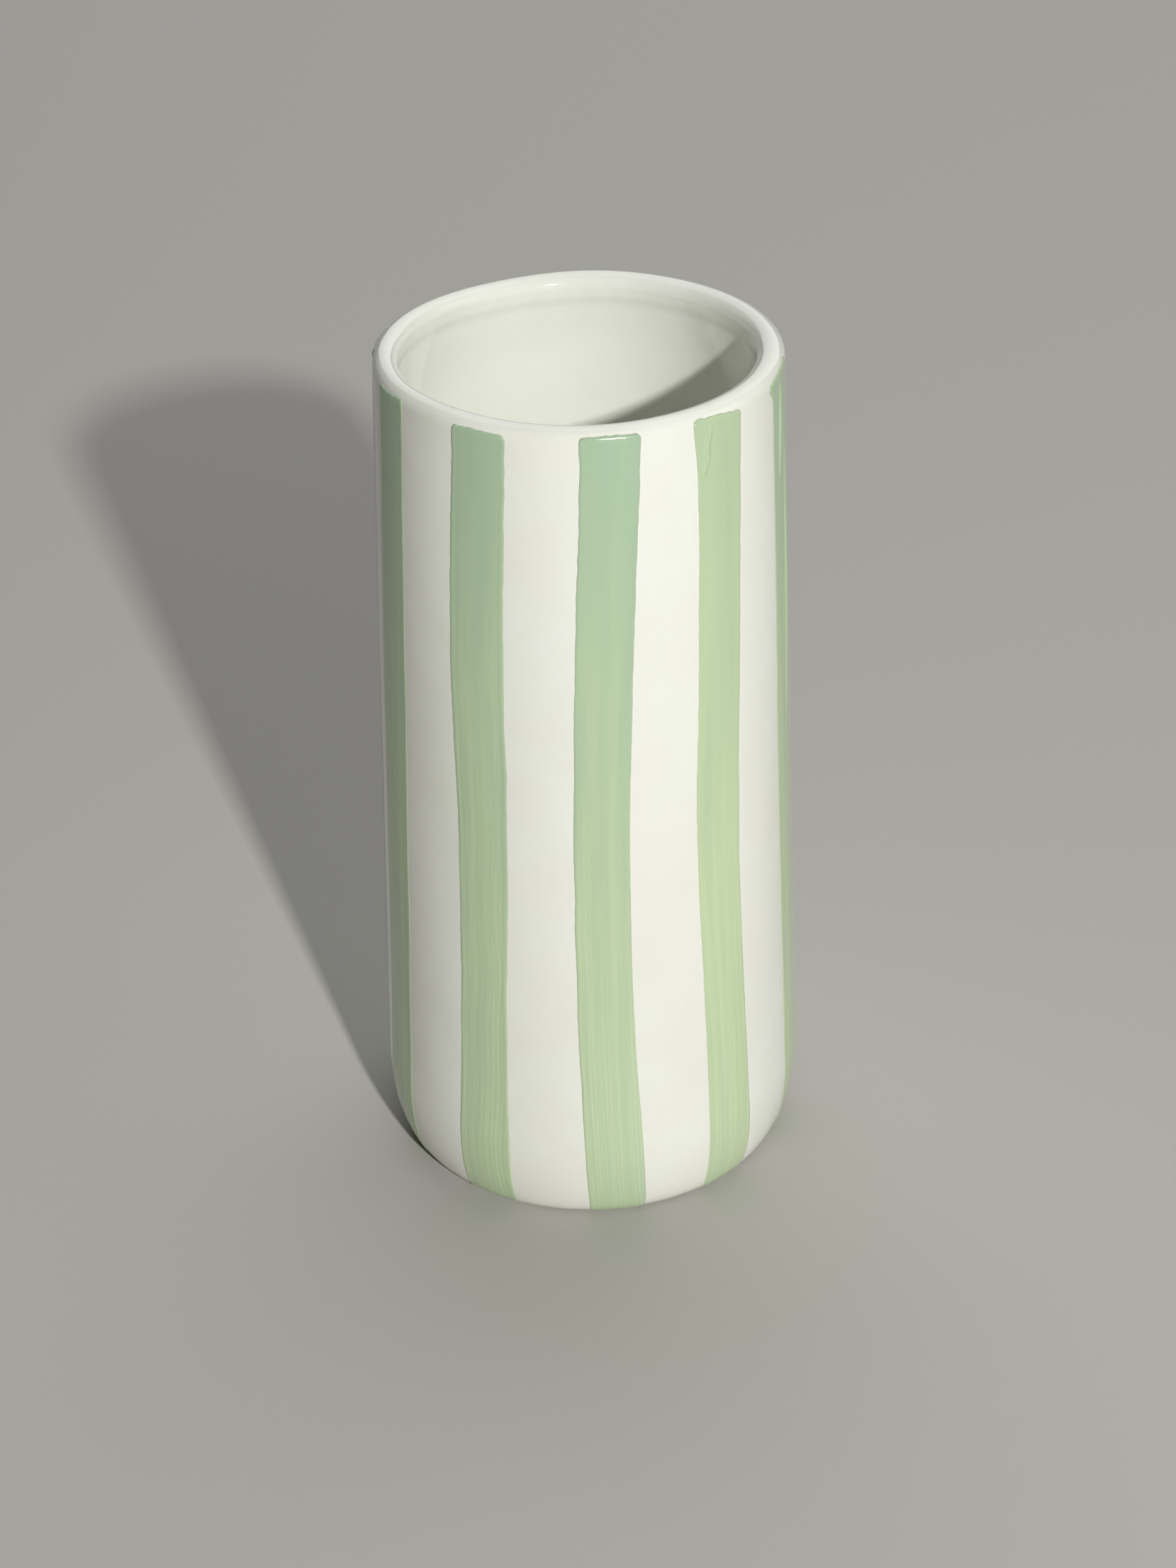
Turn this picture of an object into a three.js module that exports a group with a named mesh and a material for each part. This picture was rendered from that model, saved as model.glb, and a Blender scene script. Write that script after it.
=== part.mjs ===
// A tall, plain stoneware vase with ten brushed green stripes, in millimetres, +Z up, standing on z = 0.
//
// The vase is one fired piece made of layers: a clay body, a white glaze coat over all of it but the
// foot, and ten green glaze strokes that lie on the coat. Every layer is built from the same grid of
// stations (places along the section, from the foot over the lip to the middle of the floor) and
// columns (places around the vase), lifted off the outside of the white glaze by its own amount. So
// each layer lies on the next one face to face, with no gap and no overlap.
import * as THREE from 'three';

// The outside, measured over the white glaze.
const HEIGHT = 250;
const LIP_RADIUS = 54.9;
const LIP_ROLL = 3.6; // radius of the round lip, so half the lip's thickness
const BELLY_RADIUS = 61.5; // the widest place, where the wall meets the curve into the foot
const BELLY_HEIGHT = 27.3;
const FOOT_CURVE_DEPTH = 7.3; // how far the curve comes in, from the belly to the foot ring
const GLAZE_LINE_HEIGHT = 0.8;

// The inside.
const INNER_TOP_RADIUS = 49.2; // below the lip, where the wall is thinner than the lip
const INNER_TOP_HEIGHT = 236;
const INNER_BASE_RADIUS = 55.3;
const INNER_CORNER = 14;
const FLOOR_HEIGHT = 8;
const FLOOR_MIDDLE_RADIUS = 20;

// The bare clay under the vase.
const FOOT_RING_OUTER = 53.4;
const FOOT_RING_INNER = 46.5;
const RECESS_RADIUS = 45;
const RECESS_HEIGHT = 2.2;

// Thickness of the layers on the clay, and how far each layer's surface is off the drawn section.
const COAT = 0.5;
const STROKE = 0.35;
const ON_CLAY = -COAT;
const ON_COAT = 0;
const ON_STROKE = STROKE;

// Handmade unevenness: how far the wall strays from round, and the lip from level. The directions
// are in radians, anticlockwise from +X.
const OVALITY = 0.25;
const OVALITY_DIRECTION = 0.6;
const LIP_DIP = 0.25;
const LIP_DIP_DIRECTION = 0.4;

// How finely the section is stepped.
const WALL_STEPS = 8;
const LIP_STEPS = 8;
const INNER_WALL_STEPS = 3;
const CORNER_STEPS = 3;
const FOOT_CURVE_ANGLES = [0, 15, 30, 50, 70];

// The strokes, anticlockwise seen from above, starting nearest the front (-Y). Angles are in degrees.
// sway and width say how far the brush wandered sideways, and how wide it pressed, at five even
// heights from the foot to the lip.
const STROKES = [
  { centre: 5.5, sway: [1.2, -1.3, -1.8, -0.1, 2.8], width: [16.2, 15.2, 15.0, 15.7, 16.2] },
  { centre: 39.6, sway: [1.9, 0, -1.5, 0.3, 1.7], width: [15.5, 14.3, 14.6, 14.9, 16.0] },
  { centre: 75.0, sway: [1.6, 0.2, -1.2, -0.7, 0.3], width: [15.4, 15.2, 15.2, 15.2, 16.2] },
  { centre: 111.2, sway: [-0.8, 0.6, 1.1, 0.2, -0.9], width: [16.1, 15.0, 15.3, 15.9, 16.5] },
  { centre: 148.6, sway: [0.9, -0.4, -1.2, 0.4, 1.2], width: [15.8, 14.6, 14.7, 15.3, 15.8] },
  { centre: 184.9, sway: [1.2, 0.5, -0.6, -1.1, 0.3], width: [16.3, 15.3, 14.9, 15.5, 16.4] },
  { centre: 222.4, sway: [-1.1, 0.3, 1.2, 0.6, -0.8], width: [15.6, 15.1, 15.5, 14.8, 15.9] },
  { centre: 259.0, sway: [-0.6, -0.9, 0.2, 1.0, 0.4], width: [16.0, 14.7, 15.2, 16.0, 16.6] },
  { centre: 294.0, sway: [-2.2, -0.8, 0, 1.0, 2.6], width: [15.6, 15.2, 15.3, 15.3, 14.6] },
  { centre: 329.9, sway: [-1.4, -0.3, 0.6, -0.2, 1.9], width: [16.4, 14.4, 15.2, 16.6, 16.0] },
];
const COLUMNS_UNDER_STROKE = 3; // left edge, middle and right edge
const COLUMNS_PER_STROKE = COLUMNS_UNDER_STROKE + 1; // with the middle of the white beyond it
const FIRST_STROKE_STATION = 1; // the first station above the glaze line
const LIP_STATIONS_UNDER_STROKE = 2; // the strokes end a quarter of the way over the lip

const FULL_TURN = 360;
const FRONT = -90; // the angle of -Y, where the strokes' angles start

// ---- The section: stations on the outside of the white glaze, with the way each one faces ----

function station(radius, height, facingOut, facingUp) {
  const length = Math.hypot(facingOut, facingUp);
  return { radius, height, out: facingOut / length, up: facingUp / length };
}

function footCurve() {
  const rise = BELLY_HEIGHT - GLAZE_LINE_HEIGHT;
  return FOOT_CURVE_ANGLES.map((degrees) => {
    const angle = THREE.MathUtils.degToRad(degrees);
    const radius = BELLY_RADIUS - FOOT_CURVE_DEPTH * (1 - Math.sin(angle));
    const height = BELLY_HEIGHT - rise * Math.cos(angle);
    return station(radius, height, Math.sin(angle) / FOOT_CURVE_DEPTH, -Math.cos(angle) / rise);
  });
}

// Stations along a straight stretch, from its start up to but not including its end.
function straight(start, end, steps) {
  return Array.from({ length: steps }, (_, step) => {
    const radius = THREE.MathUtils.lerp(start.radius, end.radius, step / steps);
    const height = THREE.MathUtils.lerp(start.height, end.height, step / steps);
    return station(radius, height, end.height - start.height, start.radius - end.radius);
  });
}

function lipRoll() {
  return Array.from({ length: LIP_STEPS + 1 }, (_, step) => {
    const angle = (Math.PI * step) / LIP_STEPS;
    const radius = LIP_RADIUS - LIP_ROLL + LIP_ROLL * Math.cos(angle);
    const height = HEIGHT - LIP_ROLL + LIP_ROLL * Math.sin(angle);
    return station(radius, height, Math.cos(angle), Math.sin(angle));
  });
}

function innerCorner() {
  return Array.from({ length: CORNER_STEPS + 1 }, (_, step) => {
    const angle = (Math.PI / 2) * (step / CORNER_STEPS);
    const radius = INNER_BASE_RADIUS - INNER_CORNER * (1 - Math.cos(angle));
    const height = FLOOR_HEIGHT + INNER_CORNER * (1 - Math.sin(angle));
    return station(radius, height, -Math.cos(angle), Math.sin(angle));
  });
}

const belly = { radius: BELLY_RADIUS, height: BELLY_HEIGHT };
const shoulder = { radius: LIP_RADIUS, height: HEIGHT - LIP_ROLL };
const innerTop = { radius: INNER_TOP_RADIUS, height: INNER_TOP_HEIGHT };
const innerBase = { radius: INNER_BASE_RADIUS, height: FLOOR_HEIGHT + INNER_CORNER };

const SECTION = [
  ...footCurve(),
  ...straight(belly, shoulder, WALL_STEPS),
  ...lipRoll(),
  ...straight(innerTop, innerBase, INNER_WALL_STEPS),
  ...innerCorner(),
  station(FLOOR_MIDDLE_RADIUS, FLOOR_HEIGHT, 0, 1),
];
const LAST_STROKE_STATION = FOOT_CURVE_ANGLES.length + WALL_STEPS + LIP_STATIONS_UNDER_STROKE;

// ---- The columns: angles around the vase that follow the edges of the strokes ----

// A smooth line through evenly spaced values, read at a share of the way along it.
function smoothBetween(values, share) {
  const points = values.map((value, index) => new THREE.Vector2(index, value));
  return new THREE.SplineCurve(points).getPoint(share).y;
}

function strokeEdges({ centre, sway, width }, height) {
  const share = THREE.MathUtils.clamp(height / HEIGHT, 0, 1);
  const middle = centre + smoothBetween(sway, share);
  const half = smoothBetween(width, share) / 2;
  return { left: middle - half, middle, right: middle + half };
}

function columnAngles(height) {
  const edges = STROKES.map((stroke) => strokeEdges(stroke, height));
  return edges.flatMap(({ left, middle, right }, index) => {
    const isLast = index === edges.length - 1;
    const nextLeft = isLast ? edges[0].left + FULL_TURN : edges[index + 1].left;
    return [left, middle, right, (right + nextLeft) / 2];
  });
}

// ---- Points: a station and a column, lifted off the drawn section ----

function unevenness(angle, height) {
  const share = THREE.MathUtils.clamp(height / HEIGHT, 0, 1);
  return {
    outward: OVALITY * share * Math.cos(2 * (angle - OVALITY_DIRECTION)),
    upward: LIP_DIP * share ** 2 * Math.cos(2 * (angle - LIP_DIP_DIRECTION)),
  };
}

// The ring of points at one station, one point for each column.
function ring({ radius, height, out, up }, lift) {
  return columnAngles(height).map((degrees) => {
    const angle = THREE.MathUtils.degToRad(degrees + FRONT);
    const uneven = unevenness(angle, height);
    const reach = radius + lift * out + uneven.outward;
    const level = height + lift * up + uneven.upward;
    return new THREE.Vector3(reach * Math.cos(angle), reach * Math.sin(angle), level);
  });
}

// ---- Faces, as lists of triangles that face outward ----

function quad(a, b, c, d) {
  return [[a, b, c], [a, c, d]];
}

// Faces between two rows of points that run anticlockwise, the second above the first.
function strip(lower, upper) {
  return lower.slice(1).flatMap((lowerNext, index) => {
    const upperNext = upper[index + 1];
    return quad(lower[index], lowerNext, upperNext, upper[index]);
  });
}

function band(lower, upper) {
  return strip([...lower, lower[0]], [...upper, upper[0]]);
}

function disc(row, height) {
  const middle = new THREE.Vector3(0, 0, height);
  return row.map((point, index) => [point, row[(index + 1) % row.length], middle]);
}

function flipped(triangles) {
  return triangles.map(([a, b, c]) => [c, b, a]);
}

// The whole skin at one lift: outside, lip, inside and floor.
function skin(lift) {
  const rings = SECTION.map((place) => ring(place, lift));
  const bands = rings.slice(1).flatMap((upper, index) => band(rings[index], upper));
  return [...bands, ...disc(rings.at(-1), FLOOR_HEIGHT + lift)];
}

function downward(radius, height) {
  return ring(station(radius, height, 0, -1), ON_COAT);
}

function foot() {
  const glazeLine = ring(SECTION[0], ON_CLAY);
  const outer = downward(FOOT_RING_OUTER, 0);
  const inner = downward(FOOT_RING_INNER, 0);
  const recess = downward(RECESS_RADIUS, RECESS_HEIGHT);
  return [
    ...band(outer, glazeLine),
    ...band(inner, outer),
    ...band(recess, inner),
    ...flipped(disc(recess, RECESS_HEIGHT)),
  ];
}

function clayBody() {
  return [...skin(ON_CLAY), ...foot()];
}

function whiteGlazeCoat() {
  const edge = band(ring(SECTION[0], ON_CLAY), ring(SECTION[0], ON_COAT));
  return [...skin(ON_COAT), ...flipped(skin(ON_CLAY)), ...edge];
}

function greenStroke(index) {
  const first = index * COLUMNS_PER_STROKE;
  const places = SECTION.slice(FIRST_STROKE_STATION, LAST_STROKE_STATION + 1);
  const last = first + COLUMNS_UNDER_STROKE;
  const rowsAt = (lift) => places.map((place) => ring(place, lift).slice(first, last));
  const under = rowsAt(ON_COAT);
  const over = rowsAt(ON_STROKE);
  const face = (rows) => rows.slice(1).flatMap((upper, row) => strip(rows[row], upper));
  const leftSide = strip(under.map((row) => row[0]), over.map((row) => row[0]));
  const rightSide = strip(under.map((row) => row.at(-1)), over.map((row) => row.at(-1)));
  return [
    ...face(over),
    ...flipped(face(under)),
    ...flipped(leftSide),
    ...rightSide,
    ...strip(under[0], over[0]),
    ...flipped(strip(under.at(-1), over.at(-1))),
  ];
}

// ---- The nodes ----

const bareStoneware = new THREE.MeshStandardMaterial({ color: 0xc9b89c, roughness: 0.85, metalness: 0 });
const whiteGlaze = new THREE.MeshStandardMaterial({ color: 0xe9e9df, roughness: 0.12, metalness: 0 });
const greenGlaze = new THREE.MeshStandardMaterial({ color: 0xabc79a, roughness: 0.14, metalness: 0 });

function solid(name, triangles, material) {
  const geometry = new THREE.BufferGeometry().setFromPoints(triangles.flat());
  geometry.computeVertexNormals();
  const mesh = new THREE.Mesh(geometry, material);
  mesh.name = name;
  return mesh;
}

const vase = new THREE.Group();
vase.add(solid('clay_body', clayBody(), bareStoneware));
vase.add(solid('white_glaze_coat', whiteGlazeCoat(), whiteGlaze));
STROKES.forEach((_, index) => {
  const number = String(index + 1).padStart(2, '0');
  vase.add(solid(`stripe_${number}`, greenStroke(index), greenGlaze));
});

export default vase;
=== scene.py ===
"""The striped stoneware vase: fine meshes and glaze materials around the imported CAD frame.

The vase is drawn as one section (foot, wall, lip, inside, floor) turned around +Z. Every layer is a
fine grid on that section, lifted off it by its own thickness. Lengths inside the drawing code are in
millimetres; build_mesh turns them into metres. Angles around the vase are in radians from +X, and the
strokes' own angles are in degrees from the front, which is -Y.
"""

import bpy
import numpy as np
from mathutils import Matrix, Vector


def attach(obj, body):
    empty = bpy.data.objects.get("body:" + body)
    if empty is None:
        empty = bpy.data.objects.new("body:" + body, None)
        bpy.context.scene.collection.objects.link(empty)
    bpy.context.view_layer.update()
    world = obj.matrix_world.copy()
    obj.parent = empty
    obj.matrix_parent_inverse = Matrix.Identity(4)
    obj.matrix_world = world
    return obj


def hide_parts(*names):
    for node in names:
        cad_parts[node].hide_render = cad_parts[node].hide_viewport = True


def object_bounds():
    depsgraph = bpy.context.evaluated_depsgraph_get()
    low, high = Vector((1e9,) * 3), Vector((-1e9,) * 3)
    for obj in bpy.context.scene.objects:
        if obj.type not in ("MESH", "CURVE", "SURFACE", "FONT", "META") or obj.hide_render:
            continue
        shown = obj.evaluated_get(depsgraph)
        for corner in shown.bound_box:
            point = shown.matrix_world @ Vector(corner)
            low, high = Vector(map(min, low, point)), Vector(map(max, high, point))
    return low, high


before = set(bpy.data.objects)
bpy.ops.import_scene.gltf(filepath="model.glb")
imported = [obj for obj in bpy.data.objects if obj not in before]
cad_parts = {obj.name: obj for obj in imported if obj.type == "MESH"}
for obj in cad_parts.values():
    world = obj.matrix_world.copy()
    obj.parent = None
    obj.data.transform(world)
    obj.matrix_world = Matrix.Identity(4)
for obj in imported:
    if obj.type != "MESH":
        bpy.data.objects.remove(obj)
cad_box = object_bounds()

MM = 0.001

# ---- Driving dimensions, in millimetres, the same as the CAD model's ----

# The outside, measured over the white glaze.
HEIGHT = 250.0
LIP_RADIUS = 54.9
LIP_ROLL = 3.6  # radius of the round lip, so half the lip's thickness
BELLY_RADIUS = 61.5  # the widest place, where the wall meets the curve into the foot
BELLY_HEIGHT = 27.3
FOOT_CURVE_DEPTH = 7.3  # how far the curve comes in, from the belly to the foot ring
GLAZE_LINE_HEIGHT = 0.8

# The inside.
INNER_TOP_RADIUS = 49.2  # below the lip, where the wall is thinner than the lip
INNER_TOP_HEIGHT = 236.0
INNER_BASE_RADIUS = 55.3
INNER_CORNER = 14.0
FLOOR_HEIGHT = 8.0

# The bare clay under the vase, and the white glaze's thickness.
FOOT_RING_OUTER = 53.4
FOOT_RING_INNER = 46.5
RECESS_RADIUS = 45.0
RECESS_HEIGHT = 2.2
COAT = 0.5

SHOULDER_HEIGHT = HEIGHT - LIP_ROLL
LIP_MIDDLE = LIP_RADIUS - LIP_ROLL
CORNER_HEIGHT = FLOOR_HEIGHT + INNER_CORNER
INNER_SLOPE = (INNER_BASE_RADIUS - INNER_TOP_RADIUS) / (INNER_TOP_HEIGHT - CORNER_HEIGHT)

# ---- Finer shapes, which the CAD model leaves out, in millimetres ----

# How the lip's overhang runs out inside, in two parts: share of it, start below the lip, and length.
UNDER_LIP = [(0.35, 2.0, 3.5), (0.65, 0.0, 20.0)]
LIP_CROWDING = 1.9  # the rows of the wall inside lie closer together near the lip
INNER_SHIFT = 0.35  # the inside is this far off centre, so the lip is thicker on the right
FLOOR_HOLE = 1.5  # radius of the last ring of the inside floor, which one flat face closes
RECESS_HOLE = 0.6  # the same under the foot

# The white glaze ends in a rolled edge at the glaze line, which has run a little higher in places.
GLAZE_ROLL = 0.22
GLAZE_ROLL_REACH = 1.6
DRIPS = [(0.25, 4, 0.5), (0.15, 11, 1.7), (0.10, 23, 0.0)]  # height, waves around the vase, phase
DRIP_REACH = 6.0

# A handmade vase is not quite round or level. The oval and the dip are the CAD model's too, and the
# waves and the low spot are not. Angles are in radians.
OVALITY = 0.25
OVALITY_DIRECTION = 0.6
LIP_DIP = 0.25
LIP_DIP_DIRECTION = 0.4
WALL_WAVES = [  # depth, whether it grows towards the lip, waves around the vase, phase, height per radian
    (0.10, 1, 3, 1.0, 55.0),
    (0.06, 0, 5, 2.2, -34.0),
    (0.035, 0, 9, 0.7, 19.0),
]
LIP_WAVE = 0.10
LIP_WAVES_AROUND = 5
LIP_WAVE_PHASE = 0.4
LOW_SPOT = 0.30  # the lip is lowest here, at the back left
LOW_SPOT_DIRECTION = 2.04
LOW_SPOT_BREADTH = 0.33

# The strokes, anticlockwise seen from above, starting nearest the front. Each has the CAD model's
# centre, sway and width: sway and width say how far the brush wandered sideways, and how wide it
# pressed, at five even heights from the foot to the lip, in degrees. The rest is finer. tops is how
# far below the top of the lip the stroke starts, at its left edge, middle and right edge. flare is
# how far the left edge runs out at the lip, in degrees, and over what height it does. warmth is how
# yellow its green is. Each ridge is a fold in the glaze: its lower and upper height, its place across
# the stroke at each of those (0 left, 1 right), and its rise.
STROKES = [
    {"centre": 5.5, "sway": [1.2, -1.3, -1.8, -0.1, 2.8], "width": [16.2, 15.2, 15.0, 15.7, 16.2],
     "tops": [1.7, 1.5, 1.7], "flare": (0.6, 5.0), "warmth": 0.10, "ridges": []},
    {"centre": 39.6, "sway": [1.9, 0.0, -1.5, 0.3, 1.7], "width": [15.5, 14.3, 14.6, 14.9, 16.0],
     "tops": [1.6, 2.0, 3.2], "flare": (1.5, 9.0), "warmth": 0.55,
     "ridges": [(232.5, 240.0, 0.12, 0.27, 0.70), (237.5, 245.5, 0.16, 0.34, 0.70)]},
    {"centre": 75.0, "sway": [1.6, 0.2, -1.2, -0.7, 0.3], "width": [15.4, 15.2, 15.2, 15.2, 16.2],
     "tops": [3.0, 2.0, 1.4], "flare": (2.4, 2.2), "warmth": 0.35,
     "ridges": [(217.0, 246.5, 0.30, 0.44, 0.55), (140.0, 234.0, 0.60, 0.72, 0.45)]},
    {"centre": 111.2, "sway": [-0.8, 0.6, 1.1, 0.2, -0.9], "width": [16.1, 15.0, 15.3, 15.9, 16.5],
     "tops": [1.5, 1.7, 2.4], "flare": (0.4, 6.0), "warmth": 0.25,
     "ridges": [(228.0, 245.0, 0.70, 0.55, 0.16)]},
    {"centre": 148.6, "sway": [0.9, -0.4, -1.2, 0.4, 1.2], "width": [15.8, 14.6, 14.7, 15.3, 15.8],
     "tops": [1.8, 1.5, 1.8], "flare": (0.8, 8.0), "warmth": 0.45, "ridges": []},
    {"centre": 184.9, "sway": [1.2, 0.5, -0.6, -1.1, 0.3], "width": [16.3, 15.3, 14.9, 15.5, 16.4],
     "tops": [1.5, 1.6, 1.5], "flare": (1.2, 9.0), "warmth": 0.20,
     "ridges": [(205.0, 240.0, 0.35, 0.30, 0.14)]},
    {"centre": 222.4, "sway": [-1.1, 0.3, 1.2, 0.6, -0.8], "width": [15.6, 15.1, 15.5, 14.8, 15.9],
     "tops": [2.3, 1.7, 1.5], "flare": (1.0, 5.0), "warmth": 0.50, "ridges": []},
    {"centre": 259.0, "sway": [-0.6, -0.9, 0.2, 1.0, 0.4], "width": [16.0, 14.7, 15.2, 16.0, 16.6],
     "tops": [1.6, 1.5, 1.9], "flare": (0.5, 7.0), "warmth": 0.30,
     "ridges": [(236.0, 246.0, 0.60, 0.66, 0.18)]},
    {"centre": 294.0, "sway": [-2.2, -0.8, 0.0, 1.0, 2.6], "width": [15.6, 15.2, 15.3, 15.3, 14.6],
     "tops": [2.0, 2.2, 1.6], "flare": (0.3, 6.0), "warmth": 0.15, "ridges": []},
    {"centre": 329.9, "sway": [-1.4, -0.3, 0.6, -0.2, 1.9], "width": [16.4, 14.4, 15.2, 16.6, 16.0],
     "tops": [2.2, 2.1, 2.5], "flare": (0.2, 6.0), "warmth": 0.15, "ridges": []},
]
FRONT = -90.0  # the angle of -Y from +X, in degrees

# The green glaze's thickness on the coat, in millimetres.
STROKE_BODY = 0.10
EDGE_BEAD = 0.05  # the glaze draws up into a bead along its edge
EDGE_BEAD_PLACE = 0.8
EDGE_BEAD_BREADTH = 0.6
EDGE_ROUNDING = 0.7
TOP_POOL = 0.12  # the brush leaves more glaze where it lands
TOP_POOL_REACH = 2.2
POOL_UNEVENNESS = 0.12
BRUSH_LINES = 0.02
LINES_LEFT_AT_LIP = 0.1
BRUSH_BEND = 0.6  # how far the brush lines stray sideways
RIDGE_BREADTH = 0.48
RIDGE_FADE = 0.7
SWELL = 0.012  # slow changes of thickness down the stroke
SINK = 0.06  # how deep a stroke's underside is in the coat

# The strokes' outlines, in millimetres, and the wander of their sides in degrees.
STROKE_FOOT = 0.9  # how far above the glaze line the strokes end
FOOT_WOBBLE = 0.3
TOP_WOBBLE = 0.10
CORNER_DROP = 1.1  # how much lower the corners are, and where across the stroke they start
CORNER_START = 0.84
CORNER_POWER = 2.4
SIDE_WANDER = 0.08
FINE_WANDER_AT_FOOT = 0.02
FINE_WANDER_GROWTH = 0.05


# ---- The section: radius, height and the way it faces, as rows ----

def section_rows(radius, height, out, up):
    length = np.hypot(out, up)
    return np.stack([radius, height, out / length, up / length], axis=-1)


def foot_curve(steps=32):
    rise = BELLY_HEIGHT - GLAZE_LINE_HEIGHT
    angle = np.linspace(0, np.pi / 2, steps, endpoint=False)
    radius = BELLY_RADIUS - FOOT_CURVE_DEPTH * (1 - np.sin(angle))
    height = BELLY_HEIGHT - rise * np.cos(angle)
    return section_rows(radius, height, np.sin(angle) / FOOT_CURVE_DEPTH, -np.cos(angle) / rise)


def outer_wall(steps=60):
    share = np.linspace(0, 1, steps, endpoint=False)
    radius = BELLY_RADIUS + (LIP_RADIUS - BELLY_RADIUS) * share
    height = BELLY_HEIGHT + (SHOULDER_HEIGHT - BELLY_HEIGHT) * share
    out = np.full(steps, SHOULDER_HEIGHT - BELLY_HEIGHT)
    up = np.full(steps, BELLY_RADIUS - LIP_RADIUS)
    return section_rows(radius, height, out, up)


def lip_bead(steps=36):
    """The outer, upper and inner sides of the lip's round bead."""
    angle = np.linspace(0, np.pi, steps, endpoint=False)
    radius = LIP_MIDDLE + LIP_ROLL * np.cos(angle)
    height = SHOULDER_HEIGHT + LIP_ROLL * np.sin(angle)
    return section_rows(radius, height, np.cos(angle), np.sin(angle))


def smooth_step(value):
    value = np.clip(value, 0, 1)
    return value * value * (3 - 2 * value)


def inner_wall(steps=76):
    """The straight wall inside, which the lip overhangs: first by a soft crease, then by a long fade."""
    share = np.linspace(0, 1, steps, endpoint=False) ** LIP_CROWDING
    height = SHOULDER_HEIGHT + (CORNER_HEIGHT - SHOULDER_HEIGHT) * share
    drop = SHOULDER_HEIGHT - height
    wall = INNER_BASE_RADIUS - INNER_SLOPE * (height - CORNER_HEIGHT)
    overhang = wall[0] - (LIP_MIDDLE - LIP_ROLL)
    left_over = sum(part * (1 - smooth_step((drop - start) / length)) for part, start, length in UNDER_LIP)
    radius = wall - overhang * left_over
    return section_rows(radius, height, -np.ones(steps), np.gradient(radius, height))


def inner_corner(steps=12):
    angle = np.linspace(0, np.pi / 2, steps, endpoint=False)
    radius = INNER_BASE_RADIUS - INNER_CORNER * (1 - np.cos(angle))
    height = FLOOR_HEIGHT + INNER_CORNER * (1 - np.sin(angle))
    return section_rows(radius, height, -np.cos(angle), np.sin(angle))


def floor_rings(steps=6):
    radius = np.linspace(INNER_BASE_RADIUS - INNER_CORNER, FLOOR_HOLE, steps)
    return section_rows(radius, np.full(steps, FLOOR_HEIGHT), np.zeros(steps), np.ones(steps))


SECTION = np.concatenate(
    [foot_curve(), outer_wall(), lip_bead(), inner_wall(), inner_corner(), floor_rings()]
)
# The distance along the section, from the glaze line to each of its points.
ARC = np.concatenate([[0], np.cumsum(np.hypot(*np.diff(SECTION[:, :2], axis=0).T))])


def at_arc(arc):
    """The section's radius, height and facing at a distance along it from the glaze line."""
    return np.stack([np.interp(arc, ARC, column) for column in SECTION.T], axis=-1)


def arc_at_height(height):
    """The distance along the section to a height on the outside."""
    top = np.argmax(SECTION[:, 1])
    return np.interp(height, SECTION[: top + 1, 1], ARC[: top + 1])


# ---- Handmade unevenness ----

def bump_at(angle, middle, breadth):
    """1 at one angle around the vase, fading to 0 away from it."""
    turn = np.angle(np.exp(1j * (angle - middle)))
    return np.exp(-((turn / breadth) ** 2))


def unevenness(angle, height):
    """How far a point strays outward and upward from a perfect vase."""
    share = np.clip(height / HEIGHT, 0, 1)
    outward = OVALITY * share * np.cos(2 * (angle - OVALITY_DIRECTION))
    for depth, grows, count, phase, pitch in WALL_WAVES:
        outward = outward + depth * share**grows * np.sin(count * angle + phase + height / pitch)
    upward = (
        LIP_DIP * share**2 * np.cos(2 * (angle - LIP_DIP_DIRECTION))
        + LIP_WAVE * share**4 * np.sin(LIP_WAVES_AROUND * angle + LIP_WAVE_PHASE)
        - LOW_SPOT * share**4 * bump_at(angle, LOW_SPOT_DIRECTION, LOW_SPOT_BREADTH)
    )
    return outward, upward


def surface(angle, place, lift):
    """Points on the vase. place is from at_arc, and lift is the height above the white glaze."""
    radius, height, out, up = np.moveaxis(place, -1, 0)
    outward, upward = unevenness(angle, height)
    reach = radius + lift * out + outward
    steady = np.clip(height / BELLY_HEIGHT, 0, 1)  # the foot stays flat on the floor
    x = reach * np.cos(angle) - INNER_SHIFT * np.clip(-out, 0, 1)
    return np.stack([x, reach * np.sin(angle), height + lift * up + upward * steady], axis=-1)


def wander(seed, count, shortest, longest):
    """A smooth random line of about unit size: sines with wavelengths between two limits."""
    random = np.random.default_rng(seed)
    lengths = np.exp(random.uniform(np.log(shortest), np.log(longest), count))
    phases = random.uniform(0, 2 * np.pi, count)

    def line(position):
        waves = np.sin(2 * np.pi * np.asarray(position)[..., None] / lengths + phases)
        return waves.sum(axis=-1) / np.sqrt(count)

    return line


def smooth_between(values, share):
    """A Catmull-Rom curve through evenly spaced values."""
    values = np.asarray(values, float)
    padded = np.concatenate([[2 * values[0] - values[1]], values, [2 * values[-1] - values[-2]]])
    place = np.clip(share, 0, 1) * (len(values) - 1)
    index = np.minimum(place.astype(int), len(values) - 2)
    t = place - index
    a, b, c, d = (padded[index + shift] for shift in range(4))
    return 0.5 * (2 * b + (c - a) * t + (2 * a - 5 * b + 4 * c - d) * t**2 + (3 * b - a - 3 * c + d) * t**3)


# ---- Meshes ----

def build_mesh(name, points, faces):
    mesh = bpy.data.meshes.new(name)
    mesh.from_pydata((points * MM).tolist(), [], faces)
    mesh.validate()
    mesh.polygons.foreach_set("use_smooth", [True] * len(mesh.polygons))
    obj = bpy.data.objects.new(name, mesh)
    bpy.context.scene.collection.objects.link(obj)
    return obj


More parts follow.
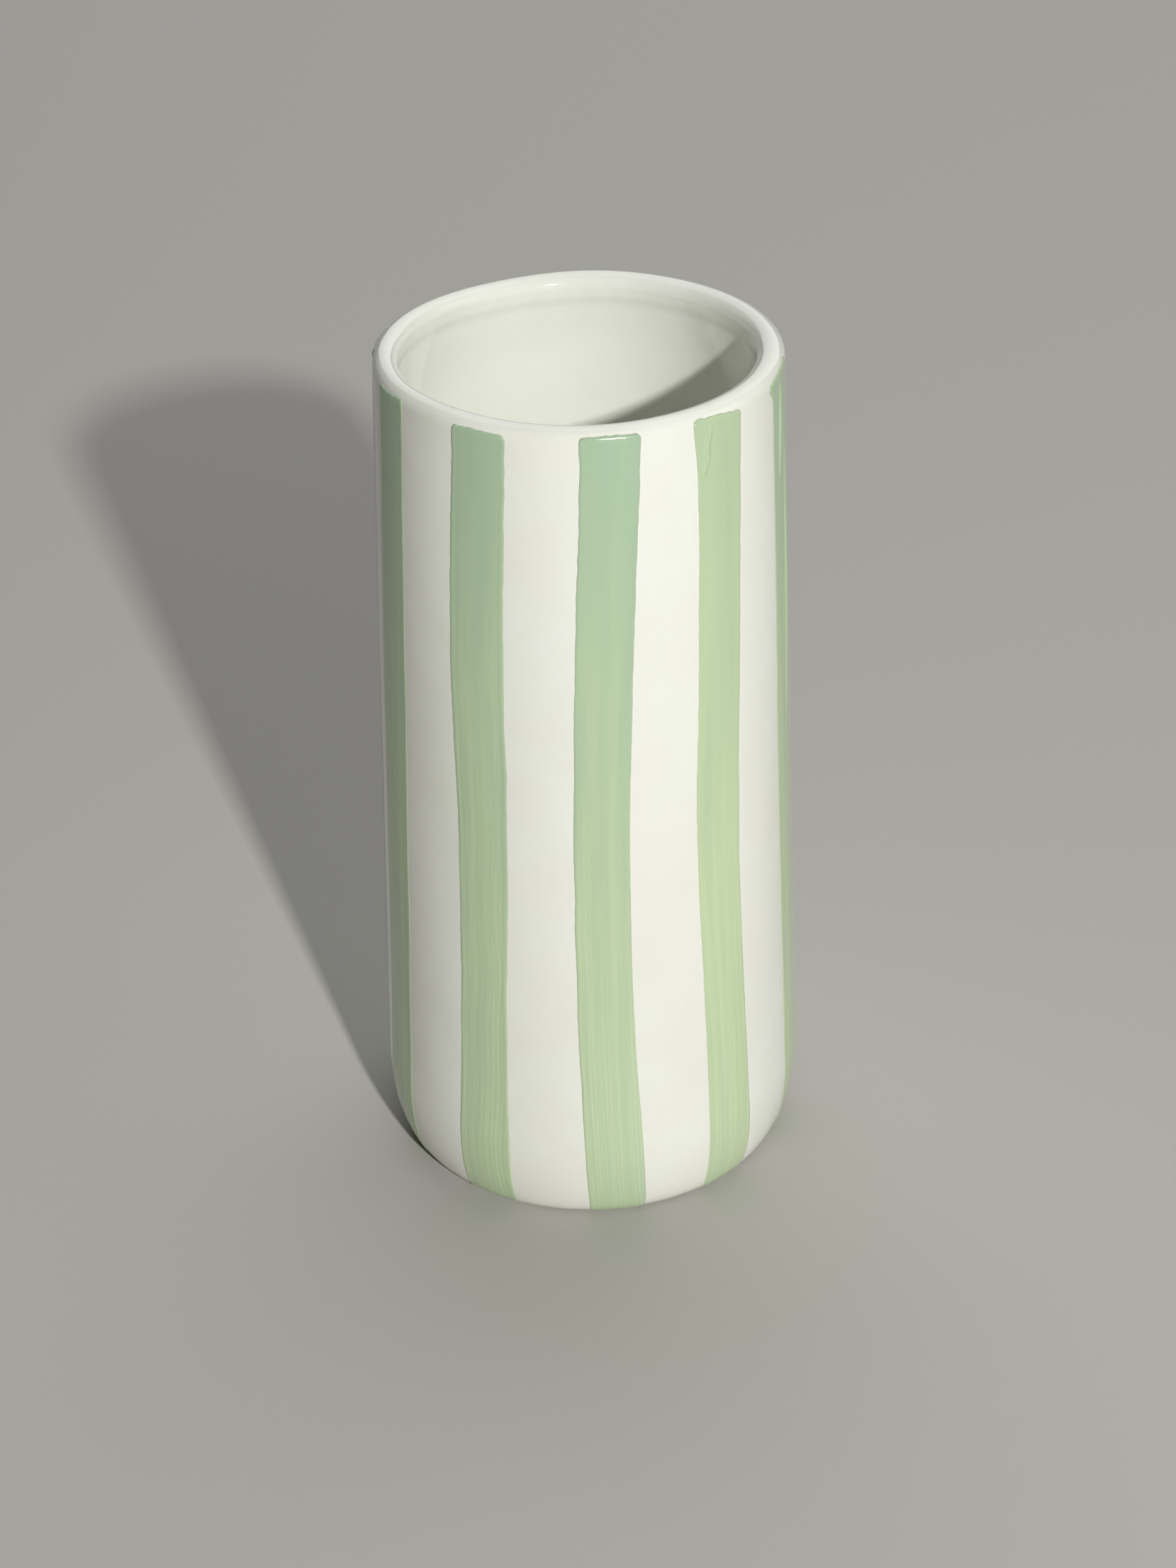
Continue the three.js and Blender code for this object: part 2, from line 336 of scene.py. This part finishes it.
def write_attribute(obj, name, values):
    attribute = obj.data.attributes.new(name, "FLOAT", "POINT")
    attribute.data.foreach_set("value", values.astype(np.float32).ravel())


def grid_faces(rows, columns, first=0, closed=False, flip=False):
    """Quads of a grid of points stored row by row. Rows go up and columns anticlockwise, facing out."""
    row = np.arange(rows - 1)[:, None]
    column = np.arange(columns if closed else columns - 1)[None, :]
    beside = (column + 1) % columns
    corners = [
        row * columns + column,
        row * columns + beside,
        (row + 1) * columns + beside,
        (row + 1) * columns + column,
    ]
    quads = np.stack(corners, axis=-1).reshape(-1, 4) + first
    return (quads[:, ::-1] if flip else quads).tolist()


def ring_faces(lower, upper):
    """Quads between two closed rings of point numbers."""
    return np.stack([lower, np.roll(lower, -1), np.roll(upper, -1), upper], axis=-1).tolist()


COLUMNS = 320
AROUND = np.linspace(0, 2 * np.pi, COLUMNS, endpoint=False)
HIDDEN_STEP = 3  # the faces between coat and clay are never seen, so they use every third ring


def turned(places, lift):
    """Rings around the vase, one for each place on the section. lift is one number, or one for each."""
    lifts = np.broadcast_to(lift, len(places))
    return surface(AROUND[None, :], places[:, None, :], lifts[:, None])


def on_clay():
    """The rings where coat and clay meet."""
    return turned(SECTION[::HIDDEN_STEP], -COAT)


def glaze_coat():
    """The white glaze: its outer skin, a rolled edge at the glaze line, and the hidden side on the clay."""
    roll = GLAZE_ROLL * np.exp(-((ARC / GLAZE_ROLL_REACH) ** 2))
    outer = turned(SECTION, roll)
    drip = sum(rise * np.sin(count * AROUND + phase) for rise, count, phase in DRIPS)
    fade = np.clip(1 - ARC / DRIP_REACH, 0, 1)
    outer[..., 2] += np.maximum(drip, 0)[None, :] * fade[:, None]
    hidden = on_clay()
    count = outer.shape[0] * COLUMNS
    ring = np.arange(COLUMNS)
    faces = grid_faces(len(outer), COLUMNS, closed=True)
    faces += grid_faces(len(hidden), COLUMNS, first=count, closed=True, flip=True)
    faces += ring_faces(ring + count, ring)
    faces.append((ring + (len(outer) - 1) * COLUMNS).tolist())
    faces.append((ring + count + (len(hidden) - 1) * COLUMNS)[::-1].tolist())
    points = np.concatenate([outer.reshape(-1, 3), hidden.reshape(-1, 3)])
    return build_mesh("glaze_coat", points, faces)


# The bare foot, from the middle of the recess outwards: radius and height, with its edges rounded.
FOOT_OUTLINE = [
    (RECESS_HOLE, RECESS_HEIGHT),
    (RECESS_RADIUS - 6, RECESS_HEIGHT),
    (RECESS_RADIUS - 1, RECESS_HEIGHT - 0.1),
    (RECESS_RADIUS, RECESS_HEIGHT - 0.5),
    (FOOT_RING_INNER - 0.5, 0.35),
    (FOOT_RING_INNER, 0.08),
    (FOOT_RING_INNER + 0.5, 0.0),
    (FOOT_RING_OUTER - 0.6, 0.0),
    (FOOT_RING_OUTER - 0.1, 0.1),
    (FOOT_RING_OUTER + 0.25, 0.45),
]


def clay():
    """The stoneware: the foot ring and recess that show, and the hidden side under the glaze."""
    radius, height = np.array(FOOT_OUTLINE).T[:, :, None]
    level = np.broadcast_to(height, (len(FOOT_OUTLINE), COLUMNS))
    foot = np.stack([radius * np.cos(AROUND), radius * np.sin(AROUND), level], axis=-1)
    points = np.concatenate([foot, on_clay()])
    ring = np.arange(COLUMNS)
    faces = grid_faces(len(points), COLUMNS, closed=True)
    faces.append(ring[::-1].tolist())
    faces.append((ring + (len(points) - 1) * COLUMNS).tolist())
    return build_mesh("stoneware_foot", points.reshape(-1, 3), faces)


# ---- Strokes ----

STROKE_ROWS = 360
STROKE_COLUMNS = 61
END_CROWDING = 0.07  # the rows lie closer together at the stroke's ends, and the columns at its sides
SIDE_CROWDING = 0.55
STROKE_APART = 100  # keeps each stroke's streaks different from the next one's, in millimetres
# The random lines that make each stroke uneven, with their shortest and longest waves, in degrees for
# the ends (top and bottom) and in millimetres for the rest.
RANDOM_LINES = {
    "top": (2.0, 9.0),
    "bottom": (3.0, 9.0),
    "left": (20.0, 70.0),
    "left_fine": (5.0, 18.0),
    "right": (20.0, 70.0),
    "right_fine": (5.0, 18.0),
    "brush": (1.3, 5.0),
    "bend": (30.0, 120.0),
    "swell": (25.0, 90.0),
    "pool": (3.0, 9.0),
}


def stroke_line(number, name, count=6):
    shortest, longest = RANDOM_LINES[name]
    seed = [number, list(RANDOM_LINES).index(name)]
    return wander(seed, count, shortest, longest)


def stroke_grid():
    """The rows' places along a stroke, from 0 to 1, and the columns' places across it, from -1 to 1."""
    even = np.linspace(0, 1, STROKE_ROWS)
    along = (1 - END_CROWDING) * even + END_CROWDING * (0.5 - 0.5 * np.cos(np.pi * even))
    even = np.linspace(-1, 1, STROKE_COLUMNS)
    across = (1 - SIDE_CROWDING) * even + SIDE_CROWDING * np.sin(even * np.pi / 2)
    return along, across


def stroke_arcs(number, spec, across):
    """How far along the section the stroke begins and ends, for each of its columns."""
    corner = np.clip((np.abs(across) - CORNER_START) / (1 - CORNER_START), 0, 1) ** CORNER_POWER
    place = across * spec["width"][-1] / 2
    drop = smooth_between(spec["tops"], (across + 1) / 2)
    top = arc_at_height(HEIGHT - drop) + TOP_WOBBLE * stroke_line(number, "top")(place)
    bottom = STROKE_FOOT + FOOT_WOBBLE * stroke_line(number, "bottom")(place)
    return bottom + CORNER_DROP * corner, top - CORNER_DROP * corner


def stroke_sides(number, spec, height):
    """The angles of the stroke's left and right edges, in degrees from the front."""
    level = height / HEIGHT
    middle = spec["centre"] + smooth_between(spec["sway"], level)
    half = smooth_between(spec["width"], level) / 2
    unsteady = FINE_WANDER_AT_FOOT + FINE_WANDER_GROWTH * level  # the hand steadies on the way down
    sides = []
    for name, edge in (("left", middle - half), ("right", middle + half)):
        slow = SIDE_WANDER * stroke_line(number, name)(height)
        fine = unsteady * stroke_line(number, name + "_fine")(height)
        sides.append(edge + slow + fine)
    left, right = sides
    spread, reach = spec["flare"]
    drop = np.maximum(HEIGHT - spec["tops"][1] - height, 0)
    return left - spread * np.exp(-((drop / reach) ** 2)), right


def ridge_rise(spec, height, across, width):
    """The folds in the glaze, as a rise at each point of the stroke."""
    rise = np.zeros(np.broadcast(height, across).shape)
    for low, high, low_place, high_place, tall in spec["ridges"]:
        share = (height - low) / (high - low)
        fade = np.sin(np.pi * np.clip(share, 0, 1)) ** RIDGE_FADE
        place = low_place + (high_place - low_place) * share
        off = ((across + 1) / 2 - place) * width
        rise += tall * fade * np.exp(-((off / RIDGE_BREADTH) ** 2))
    return rise


def stroke_thickness(number, height, level, from_left, from_edge, from_top):
    """The glaze's thickness: an even body with a bead at its edge, a pool at its top and brush lines."""
    bead = EDGE_BEAD * np.exp(-(((from_edge - EDGE_BEAD_PLACE) / EDGE_BEAD_BREADTH) ** 2))
    pool = TOP_POOL * (1 + POOL_UNEVENNESS * stroke_line(number, "pool")(from_left))
    bend = BRUSH_BEND * stroke_line(number, "bend")(height)
    strength = LINES_LEFT_AT_LIP + 1 - level  # the brush lines show more towards the foot
    lines = BRUSH_LINES * strength * stroke_line(number, "brush", count=9)(from_left + bend)
    swell = SWELL * stroke_line(number, "swell")(height)
    return STROKE_BODY + bead + pool * np.exp(-((from_top / TOP_POOL_REACH) ** 2)) + lines + swell


def closed_skin(name, over, under):
    """A mesh with two grids of points as its upper and lower sides, joined all round."""
    rows, columns = over.shape[:2]
    count = rows * columns
    faces = grid_faces(rows, columns)
    faces += grid_faces(rows, columns, first=count, flip=True)
    index = np.arange(count).reshape(rows, columns)
    border = np.concatenate([index[0, :], index[1:, -1], index[-1, -2::-1], index[-2:0:-1, 0]])
    faces += ring_faces(border + count, border)
    return build_mesh(name, np.concatenate([over.reshape(-1, 3), under.reshape(-1, 3)]), faces)


def stroke(number, spec):
    """One raised brush stroke: a closed, round-edged skin of green glaze on the white coat."""
    along, across = stroke_grid()
    bottom, top = stroke_arcs(number, spec, across)
    arc = bottom + (top - bottom) * along[:, None]
    place = at_arc(arc)
    height = place[..., 1]
    row_height = height[:, STROKE_COLUMNS // 2]
    level = (row_height / HEIGHT)[:, None]
    left, right = stroke_sides(number, spec, row_height)
    degrees = left[:, None] + (right - left)[:, None] * (across + 1) / 2
    angle = np.radians(degrees + FRONT)

    width = np.radians(right - left)[:, None] * place[..., 0]
    from_left = (across + 1) / 2 * width
    from_side = np.minimum(from_left, width - from_left)
    from_edge = np.minimum(from_side, np.minimum(arc - bottom, top - arc))
    thickness = stroke_thickness(number, height, level, from_left, from_edge, top - arc)
    thickness += ridge_rise(spec, height, across, width)
    rounding = np.sqrt(1 - (1 - np.clip(from_edge / EDGE_ROUNDING, 0, 1)) ** 2)

    over = surface(angle, place, thickness * rounding)
    under = surface(angle, place, np.full_like(thickness, -SINK))
    obj = closed_skin(f"green_stroke_{number:02d}", over, under)
    both_sides = np.ones((2, STROKE_ROWS, STROKE_COLUMNS))
    write_attribute(obj, "edge", from_edge * both_sides)
    write_attribute(obj, "level", level * both_sides)
    write_attribute(obj, "across", (from_left + STROKE_APART * number) * both_sides)
    write_attribute(obj, "warmth", spec["warmth"] * both_sides)
    return obj


# ---- Materials ----

def new_material(name):
    material = bpy.data.materials.new(name)
    material.use_nodes = True
    tree = material.node_tree
    return material, tree, tree.nodes["Principled BSDF"]


def add_node(tree, kind, **sockets):
    """A node with numbers in its input sockets. A socket's name has _ where Blender's has a space."""
    node = tree.nodes.new(kind)
    for socket, value in sockets.items():
        node.inputs[socket.replace("_", " ")].default_value = value
    return node


def noise(tree, vector, scale, detail=2.0, roughness=0.5):
    node = add_node(tree, "ShaderNodeTexNoise", Scale=scale, Detail=detail, Roughness=roughness)
    tree.links.new(vector, node.inputs["Vector"])
    return node.outputs["Fac"]


def ramp(tree, value, stops):
    """A colour that follows a value. stops are two pairs of value and colour."""
    node = tree.nodes.new("ShaderNodeValToRGB")
    for element, (position, color) in zip(node.color_ramp.elements, stops):
        element.position = position
        element.color = (*color, 1.0)
    tree.links.new(value, node.inputs["Fac"])
    return node.outputs["Color"]


# Where the Mix node has its sockets when it mixes colours.
MIX_FACTOR = 0
MIX_FIRST = 6
MIX_SECOND = 7
MIX_RESULT = 2


def mix(tree, factor, first, second):
    """Mixes two colours. Each of the three values is a socket or a constant."""
    node = tree.nodes.new("ShaderNodeMix")
    node.data_type = "RGBA"
    for index, value in ((MIX_FACTOR, factor), (MIX_FIRST, first), (MIX_SECOND, second)):
        socket = node.inputs[index]
        if isinstance(value, bpy.types.NodeSocket):
            tree.links.new(value, socket)
        elif socket.type == "RGBA":
            socket.default_value = (*value, 1.0)
        else:
            socket.default_value = value
    return node.outputs[MIX_RESULT]


def remap(tree, value, old_range, new_range):
    """The value, moved from one range to another and held inside it."""
    node = add_node(
        tree, "ShaderNodeMapRange",
        From_Min=old_range[0], From_Max=old_range[1], To_Min=new_range[0], To_Max=new_range[1],
    )
    tree.links.new(value, node.inputs["Value"])
    return node.outputs["Result"]


def calculate(tree, operation, first, second):
    node = tree.nodes.new("ShaderNodeMath")
    node.operation = operation
    tree.links.new(first, node.inputs[0])
    tree.links.new(second, node.inputs[1])
    return node.outputs["Value"]


def mix_by(tree, first_factor, second_factor, first, second):
    """Mixes two colours by the product of two factors."""
    return mix(tree, calculate(tree, "MULTIPLY", first_factor, second_factor), first, second)


def bump(tree, height, distance, normal=None):
    node = add_node(tree, "ShaderNodeBump", Distance=distance)
    tree.links.new(height, node.inputs["Height"])
    if normal is not None:
        tree.links.new(normal, node.inputs["Normal"])
    return node.outputs["Normal"]


def object_coordinates(tree):
    return tree.nodes.new("ShaderNodeTexCoord").outputs["Object"]


def attribute(tree, name):
    node = tree.nodes.new("ShaderNodeAttribute")
    node.attribute_name = name
    return node.outputs["Fac"]


def specks(tree, place, scale, reach):
    """Sparse round dots: 1 in the middle of a dot, 0 between dots. About half the cells have one."""
    cells = add_node(tree, "ShaderNodeTexVoronoi", Scale=scale, Randomness=1.0)
    tree.links.new(place, cells.inputs["Vector"])
    dots = remap(tree, cells.outputs["Distance"], (0.0, reach), (1.0, 0.0))
    kept = remap(tree, cells.outputs["Color"], (0.45, 0.55), (0.0, 1.0))
    return calculate(tree, "MULTIPLY", dots, kept)


GLAZE_IOR = 1.52
CREAM = (0.86, 0.872, 0.785)
WHITE = (0.90, 0.912, 0.85)
IRON_SPECK = (0.36, 0.31, 0.23)


def white_glaze():
    """Glossy cream white, faintly clouded, with a few iron specks and a softly wavy surface."""
    material, tree, shader = new_material("white_glaze")
    place = object_coordinates(tree)
    cloud = noise(tree, place, scale=32.0, detail=5.0, roughness=0.6)
    body = ramp(tree, cloud, [(0.32, CREAM), (0.68, WHITE)])
    body = mix(tree, specks(tree, place, scale=70.0, reach=0.024), body, IRON_SPECK)
    tree.links.new(body, shader.inputs["Base Color"])
    shader.inputs["Roughness"].default_value = 0.06
    shader.inputs["IOR"].default_value = GLAZE_IOR
    normal = bump(tree, noise(tree, place, scale=42.0), distance=0.0003)
    normal = bump(tree, noise(tree, place, scale=160.0, roughness=0.45), distance=0.00002, normal=normal)
    tree.links.new(normal, shader.inputs["Normal"])
    return material


def streak_noise(tree, along_scale, scale, detail=2.0, roughness=0.5):
    """Noise in millimetres across a stroke, which changes only slowly along it."""
    join = tree.nodes.new("ShaderNodeCombineXYZ")
    tree.links.new(attribute(tree, "across"), join.inputs["X"])
    along = remap(tree, attribute(tree, "level"), (0.0, 1.0), (0.0, along_scale))
    tree.links.new(along, join.inputs["Y"])
    return noise(tree, join.outputs["Vector"], scale, detail, roughness)


SAGE = (0.40, 0.55, 0.385)
LEAF = (0.59, 0.715, 0.44)
MINT = (0.47, 0.635, 0.46)
THIN_GREEN = (0.70, 0.79, 0.60)
EDGE_BROWN = (0.50, 0.47, 0.32)


def green_glaze():
    """Sage where the glaze is thick at the lip, yellower and streaked where it thins out below."""
    material, tree, shader = new_material("green_glaze")
    place = object_coordinates(tree)
    level = attribute(tree, "level")
    fine = streak_noise(tree, along_scale=0.9, scale=1.9, detail=4.0, roughness=0.65)
    lines = streak_noise(tree, along_scale=1.6, scale=1.0)
    broad = streak_noise(tree, along_scale=14.0, scale=0.16)

    lower = remap(tree, level, (0.15, 0.95), (0.75, 0.0))
    yellow = calculate(tree, "ADD", lower, attribute(tree, "warmth"))
    patches = remap(tree, broad, (0.3, 0.7), (-0.3, 0.3))
    patchy = calculate(tree, "MULTIPLY", patches, remap(tree, level, (0.5, 1.0), (1.0, 0.25)))
    body = mix(tree, calculate(tree, "ADD", yellow, patchy), SAGE, LEAF)
    at_foot = remap(tree, level, (0.05, 0.35), (0.5, 0.0))
    body = mix_by(tree, at_foot, remap(tree, broad, (0.45, 0.6), (0.0, 1.0)), body, MINT)
    streaky = remap(tree, level, (0.05, 0.8), (0.5, 0.02))
    body = mix_by(tree, streaky, remap(tree, fine, (0.5, 0.68), (0.0, 1.0)), body, THIN_GREEN)
    body = mix_by(tree, streaky, remap(tree, fine, (0.5, 0.34), (0.0, 0.7)), body, SAGE)
    body = mix_by(tree, streaky, remap(tree, lines, (0.66, 0.72), (0.0, 1.3)), body, THIN_GREEN)
    near_edge = remap(tree, attribute(tree, "edge"), (0.0, 0.55), (0.4, 0.0))
    in_places = remap(tree, noise(tree, place, scale=55.0), (0.4, 0.6), (0.25, 1.0))
    body = mix_by(tree, near_edge, in_places, body, EDGE_BROWN)
    tree.links.new(body, shader.inputs["Base Color"])
    shader.inputs["Roughness"].default_value = 0.09
    shader.inputs["IOR"].default_value = GLAZE_IOR
    normal = bump(tree, fine, distance=0.00003)
    normal = bump(tree, noise(tree, place, scale=60.0), distance=0.0002, normal=normal)
    tree.links.new(normal, shader.inputs["Normal"])
    return material


BUFF = (0.50, 0.39, 0.27)
PALE_BUFF = (0.64, 0.53, 0.39)
DARK_GRAIN = (0.40, 0.31, 0.22)
PALE_GRAIN = (0.72, 0.62, 0.48)
DARK_SPECK = (0.17, 0.11, 0.07)
GRAIN_SHARE = 0.35


def bare_stoneware():
    """Matte buff clay with sand grain and dark specks."""
    material, tree, shader = new_material("bare_stoneware")
    place = object_coordinates(tree)
    grain = noise(tree, place, scale=900.0, detail=4.0, roughness=0.7)
    patch = noise(tree, place, scale=45.0, detail=3.0, roughness=0.6)
    body = ramp(tree, patch, [(0.3, BUFF), (0.7, PALE_BUFF)])
    body = mix(tree, GRAIN_SHARE, body, ramp(tree, grain, [(0.35, DARK_GRAIN), (0.65, PALE_GRAIN)]))
    body = mix(tree, specks(tree, place, scale=420.0, reach=0.16), body, DARK_SPECK)
    tree.links.new(body, shader.inputs["Base Color"])
    shader.inputs["Roughness"].default_value = 0.85
    tree.links.new(bump(tree, grain, distance=0.00015), shader.inputs["Normal"])
    return material


# ---- The vase ----

def place_piece(obj, material, node):
    obj.data.materials.append(material)
    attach(obj, "root")
    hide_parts(node)


place_piece(clay(), bare_stoneware(), "clay_body")
place_piece(glaze_coat(), white_glaze(), "white_glaze_coat")
green = green_glaze()
for number, spec in enumerate(STROKES, start=1):
    place_piece(stroke(number, spec), green, f"stripe_{number:02d}")


# ---- Floor, lights and camera ----

def vase_middle():
    """The middle of the vase's footprint, on the floor."""
    low, high = cad_box
    return Vector(((low[0] + high[0]) / 2, (low[1] + high[1]) / 2, low[2]))


FLOOR_SIZE = 12.0
FLOOR_COLOR = (0.50, 0.49, 0.46)
FLOOR_ROUGHNESS = 0.7
SUNLIT = (1.0, 0.995, 0.97)
SKY_COLOR = (1.0, 0.99, 0.95)
SKY_STRENGTH = 0.03


def floor():
    half = FLOOR_SIZE / 2
    corners = [(-half, -half, 0), (half, -half, 0), (half, half, 0), (-half, half, 0)]
    mesh = bpy.data.meshes.new("floor")
    mesh.from_pydata([vase_middle() + Vector(corner) for corner in corners], [], [(0, 1, 2, 3)])
    obj = bpy.data.objects.new("floor", mesh)
    bpy.context.scene.collection.objects.link(obj)
    material, _, shader = new_material("pale_floor")
    shader.inputs["Base Color"].default_value = (*FLOOR_COLOR, 1.0)
    shader.inputs["Roughness"].default_value = FLOOR_ROUGHNESS
    obj.data.materials.append(material)


def area_light(name, azimuth, elevation, distance, size, power, color=(1, 1, 1)):
    """A square light that faces the middle of the vase. Azimuth 0 is the front, and 90 the right."""
    target = vase_middle() + Vector((0, 0, HEIGHT * MM / 2))
    side, lift = np.radians(azimuth), np.radians(elevation)
    direction = Vector((np.sin(side) * np.cos(lift), -np.cos(side) * np.cos(lift), np.sin(lift)))
    data = bpy.data.lights.new(name, "AREA")
    data.size = size
    data.energy = power
    data.color = color
    obj = bpy.data.objects.new(name, data)
    obj.location = target + direction * distance
    obj.rotation_euler = direction.to_track_quat("Z", "Y").to_euler()
    bpy.context.scene.collection.objects.link(obj)


# The camera's place, in metres from the middle of the foot, its turn in degrees, and its lens.
CAMERA_DISTANCE = 0.7686
CAMERA_HEIGHT = 0.5818
CAMERA_PITCH = 31.38
CAMERA_ROLL = -1.107
CAMERA_PAN = 0.034
CAMERA_LENS = 71.6


def camera():
    pitch, roll, pan = np.radians([CAMERA_PITCH, CAMERA_ROLL, CAMERA_PAN])
    forward = Vector((np.sin(pan) * np.cos(pitch), np.cos(pan) * np.cos(pitch), -np.sin(pitch)))
    level = forward.cross(Vector((0, 0, 1))).normalized()
    upright = level.cross(forward)
    right = level * np.cos(roll) + upright * np.sin(roll)
    up = upright * np.cos(roll) - level * np.sin(roll)
    data = bpy.data.cameras.new("camera")
    data.lens = CAMERA_LENS
    obj = bpy.data.objects.new("camera", data)
    turn = Matrix((right, up, -forward)).transposed().to_4x4()
    place = vase_middle() + Vector((0, -CAMERA_DISTANCE, CAMERA_HEIGHT))
    obj.matrix_world = Matrix.Translation(place) @ turn
    bpy.context.scene.collection.objects.link(obj)
    bpy.context.scene.camera = obj


def surroundings():
    world = bpy.data.worlds.new("studio")
    world.use_nodes = True
    background = world.node_tree.nodes["Background"]
    background.inputs["Color"].default_value = (*SKY_COLOR, 1.0)
    background.inputs["Strength"].default_value = SKY_STRENGTH
    bpy.context.scene.world = world
    bpy.context.scene.view_settings.view_transform = "Standard"


floor()
area_light("key", azimuth=18, elevation=28, distance=3.0, size=0.11, power=74.0, color=SUNLIT)
area_light("right", azimuth=85, elevation=22, distance=2.2, size=1.0, power=2.4, color=SUNLIT)
area_light("back", azimuth=172, elevation=48, distance=3.0, size=4.0, power=58.0)
camera()
surroundings()
